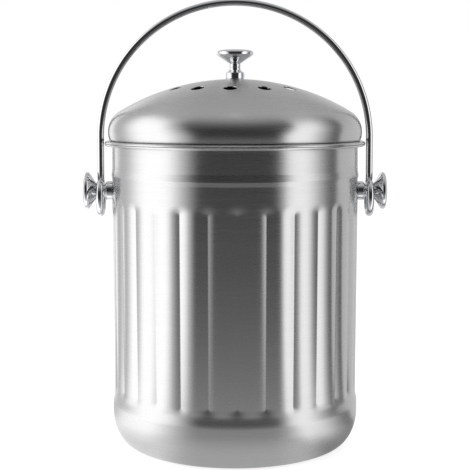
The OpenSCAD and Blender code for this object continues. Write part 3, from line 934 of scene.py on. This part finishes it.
# The table in front of the pail, a painted light that is brightest next to the pail: (metres from the
# pail's axis, brightness)
TABLE_FRONT = [
    (0.09, 0.6), (0.15, 0.47), (0.25, 0.37), (0.35, 0.27),
    (0.52, 0.17), (0.75, 0.11), (1.0, 0.08), (1.65, 0.04),
]
# The floor where it is seen, its paper where it only lights, and the part of it that takes shadows
FLOOR_GLOW, FLOOR_PAPER, FLOOR_SHADOW = 0.72, 0.8, 0.5
FLOOR_HALF = 30.0
# The world's light, and its brightness where it is seen
SKY_LIGHT, SKY_SEEN = 0.7, 1.0
# Soft lamps that point at the middle of the pail: (name, place, size, watts)
LAMPS = [("key_left", (-1.2, -1.0, 1.4), 1.2, 12), ("fill_right", (1.3, -0.6, 1.0), 1.0, 6)]
LAMP_AIM = (0, 0, 0.15)


def on_screen(tree, bearing, height, edges):
    """1 on a lamp or a screen and 0 beside and above it, with soft edges."""
    start, start_edge, end, end_edge, top, top_edge = edges
    share = 1.0
    for value, middle, edge, before in (
        (bearing, start, start_edge, 0.0),
        (bearing, end, end_edge, 1.0),
        (height, top, top_edge, 1.0),
    ):
        ends = {1: middle - edge / 2, 2: middle + edge / 2, 3: before, 4: 1.0 - before}
        step = add(tree, "ShaderNodeMapRange", {"Value": value, **ends}, interpolation_type="SMOOTHSTEP")
        share = add(tree, "ShaderNodeMath", {0: step, 1: share}, operation="MULTIPLY")
    return share


def surround(tree, place, front, camera_side, screens):
    """Brightness of what stands round the pail: cloth, the screens, and front on the camera's side."""
    split = add(tree, "ShaderNodeSeparateXYZ", {0: place})
    away = add(tree, "ShaderNodeMath", {0: split.outputs["Y"], 1: -1.0}, operation="MULTIPLY")
    turn = add(tree, "ShaderNodeMath", {0: split.outputs["X"], 1: away}, operation="ARCTAN2")
    bearing = add(tree, "ShaderNodeMath", {0: turn}, operation="DEGREES")
    far = add(tree, "ShaderNodeVectorMath", {0: place}, operation="LENGTH").outputs["Value"]
    slope = add(tree, "ShaderNodeMath", {0: split.outputs["Z"], 1: far}, operation="DIVIDE")
    rise = add(tree, "ShaderNodeMath", {0: slope}, operation="ARCSINE")
    height = add(tree, "ShaderNodeMath", {0: rise}, operation="DEGREES")
    side = add(tree, "ShaderNodeMath", {0: bearing}, operation="SIGN")
    back = add(tree, "ShaderNodeMath", {0: height, 1: side}, operation="MULTIPLY")
    leaned = add(tree, "ShaderNodeMath", {0: back, 1: -LEAN, 2: bearing}, operation="MULTIPLY_ADD")
    cloth = {"Value": height, 1: CLOTH_FROM, 2: CLOTH_TO, 3: CLOTH_LOW, 4: CLOTH_HIGH}
    tone = add(tree, "ShaderNodeMapRange", cloth, interpolation_type="SMOOTHSTEP")
    for *edges, level in screens:
        share = on_screen(tree, leaned, height, edges)
        tone = add(tree, "ShaderNodeMix", {"Factor": share, "A": tone, "B": level})
    share = on_screen(tree, leaned, height, camera_side)
    return add(tree, "ShaderNodeMix", {"Factor": share, "A": tone, "B": front})


def tent_material():
    """Translucent tent cloth lit from outside: soft boxes at the sides, dark round the camera."""
    material, tree = new_material("tent_cloth_lit")
    place = add(tree, "ShaderNodeTexCoord").outputs["Object"]
    tone = surround(tree, place, CAMERA_DARK, CAMERA_SIDE, SCREENS)
    glow = add(tree, "ShaderNodeEmission", {"Strength": tone})
    add(tree, "ShaderNodeOutputMaterial", {"Surface": glow})
    return material


def painted_table_material():
    """A glowing card that metal sees as the table, with its light painted: bright at the sides below the
    soft boxes, graded in front, and darker next to the pail as a painted shade.
    """
    material, tree = new_material("table_painted_glow_card")
    place = add(tree, "ShaderNodeTexCoord").outputs["Object"]
    far = add(tree, "ShaderNodeVectorMath", {0: place}, operation="LENGTH").outputs["Value"]
    reach = TABLE_FRONT[-1][0]
    part = add(tree, "ShaderNodeMath", {0: far, 1: reach}, operation="DIVIDE")
    root = add(tree, "ShaderNodeMath", {0: part, 1: 0.5}, operation="POWER")
    front = add(tree, "ShaderNodeValToRGB", {"Fac": root})
    front.color_ramp.interpolation = "EASE"
    elements = front.color_ramp.elements
    while len(elements) < len(TABLE_FRONT):
        elements.new(0.5)
    for element, (distance, level) in zip(elements, TABLE_FRONT, strict=True):
        element.position = math.sqrt(distance / reach)
        element.color = (level, level, level, 1)
    # Close to the pail the card's glow is darker: painted shade of the pail on the table
    near = surround(tree, place, front, NEAR_FRONT, NEAR_PAINTED_SHADES)
    distant = surround(tree, place, front, CAMERA_SIDE, SCREENS)
    step = {"Value": far, 1: NEAR_FROM, 2: NEAR_TO}
    step = add(tree, "ShaderNodeMapRange", step, interpolation_type="SMOOTHSTEP")
    tone = add(tree, "ShaderNodeMix", {"Factor": step, "A": near, "B": distant})
    glow = add(tree, "ShaderNodeEmission", {"Strength": tone})
    add(tree, "ShaderNodeOutputMaterial", {"Surface": glow})
    return material


def stage_piece(name, shape, material, seen_only_in_metal=True):
    """A piece of the studio. One that is seen only in metal neither shows nor lights."""
    mesh = bpy.data.meshes.new(name)
    mesh.from_pydata(shape[0], [], shape[1])
    mesh.materials.append(material)
    made = bpy.data.objects.new(name, mesh)
    bpy.context.scene.collection.objects.link(made)
    if seen_only_in_metal:
        made.visible_camera = False
        made.visible_diffuse = False
        made.visible_shadow = False
        made.visible_volume_scatter = False
        made.visible_transmission = False


def studio_world(scene):
    """Even white light from all round, and plain white behind the pail."""
    world = bpy.data.worlds.new("white_studio")
    world.use_nodes = True
    tree = world.node_tree
    tree.nodes.clear()
    light = add(tree, "ShaderNodeMapRange", {"Value": seen_rays(tree), 3: SKY_LIGHT, 4: SKY_SEEN})
    sky = add(tree, "ShaderNodeBackground", {"Color": (1, 1, 1, 1), "Strength": light})
    add(tree, "ShaderNodeOutputWorld", {"Surface": sky})
    scene.world = world


def key_light(name, place, size, watts):
    """A soft lamp that points at the middle of the pail and isn't seen in metal."""
    lamp = bpy.data.lights.new(name, "AREA")
    lamp.energy = watts
    lamp.size = size
    made = bpy.data.objects.new(name, lamp)
    made.location = place
    aim = np.array(LAMP_AIM) - np.array(place)
    tilt = math.acos(-aim[2] / np.linalg.norm(aim))
    made.rotation_euler = (tilt, 0, math.atan2(aim[0], -aim[1]) + math.pi)
    made.visible_glossy = False
    bpy.context.scene.collection.objects.link(made)


class COMPOST_OT_studio(bpy.types.Operator):
    """The floor, the light tent, the lamps and the camera"""

    bl_idname = "compost.studio"
    bl_label = "Studio"

    def execute(self, context):
        scene, studio = context.scene, context.scene.pail_studio
        half, columns, rings = FLOOR_HALF, 96, 24
        square = np.array([(-half, -half, 0), (half, -half, 0), (half, half, 0), (-half, half, 0)])
        stage_piece("floor", (square, [[0, 1, 2, 3]]), floor_material(), seen_only_in_metal=False)
        radius = studio.tent_radius
        dome = np.concatenate([[(0, 0)], arc((0, 0), (radius, radius), 0, 90, rings)])
        points, faces = lathe(dome, columns)
        # The last faces are left out, so the tent is open at its top
        stage_piece("light_tent", (points, faces[:-columns]), tent_material())
        # The table card glows only in metal: a painted reflection of the lit table, with painted shade
        # next to the pail
        card = np.stack([np.geomspace(0.02, radius, rings), np.full(rings, 0.1 * MM)], 1)
        stage_piece("table_card", surface(revolved(card, turned_about(columns))), painted_table_material())
        studio_world(scene)
        for lamp in LAMPS:
            key_light(*lamp)
        camera = bpy.data.cameras.new("camera")
        camera.lens = studio.camera_lens
        camera.shift_y = studio.shift_up
        eye = bpy.data.objects.new("camera", camera)
        eye.location = (0, -studio.camera_back, studio.camera_height)
        eye.rotation_euler = (math.pi / 2 - studio.camera_pitch, 0, 0)
        scene.collection.objects.link(eye)
        scene.camera = eye
        scene.view_settings.view_transform = "Standard"
        return {"FINISHED"}


class COMPOST_PT_panel(bpy.types.Panel):
    """Lists the pieces and their sizes"""

    bl_idname = "COMPOST_PT_panel"
    bl_label = "Compost pail"
    bl_space_type = "VIEW_3D"
    bl_region_type = "UI"
    bl_category = "Pail"

    def draw(self, context):
        for operator in OPERATORS:
            self.layout.operator(operator.bl_idname)
        for name in GROUPS:
            box = self.layout.box()
            group = getattr(context.scene, name)
            for setting in group.__annotations__:
                box.prop(group, setting)


GROUPS = {
    "pail_sizes": PailSizes,
    "lid_sizes": LidSizes,
    "knob_sizes": KnobSizes,
    "bail_sizes": BailSizes,
    "pail_finishes": Finishes,
    "pail_studio": Studio,
}
OPERATORS = [
    COMPOST_OT_studio,
    COMPOST_OT_pail_shell,
    COMPOST_OT_lid_shell,
    COMPOST_OT_knobs,
    COMPOST_OT_bail,
    COMPOST_OT_fasteners,
    COMPOST_OT_filter_holder,
    COMPOST_OT_charcoal_pad,
]


def register():
    for name, group in GROUPS.items():
        bpy.utils.register_class(group)
        setattr(bpy.types.Scene, name, PointerProperty(type=group))
    for kind in [*OPERATORS, COMPOST_PT_panel]:
        bpy.utils.register_class(kind)


def unregister():
    for kind in reversed([*OPERATORS, COMPOST_PT_panel]):
        bpy.utils.unregister_class(kind)
    for name, group in GROUPS.items():
        delattr(bpy.types.Scene, name)
        bpy.utils.unregister_class(group)


def main():
    register()
    bpy.ops.compost.studio()
    bpy.ops.compost.pail_shell()
    bpy.ops.compost.lid_shell()
    bpy.ops.compost.knobs()
    bpy.ops.compost.bail()
    bpy.ops.compost.fasteners()
    bpy.ops.compost.filter_holder()
    bpy.ops.compost.charcoal_pad()


if __name__ == "__main__":
    main()
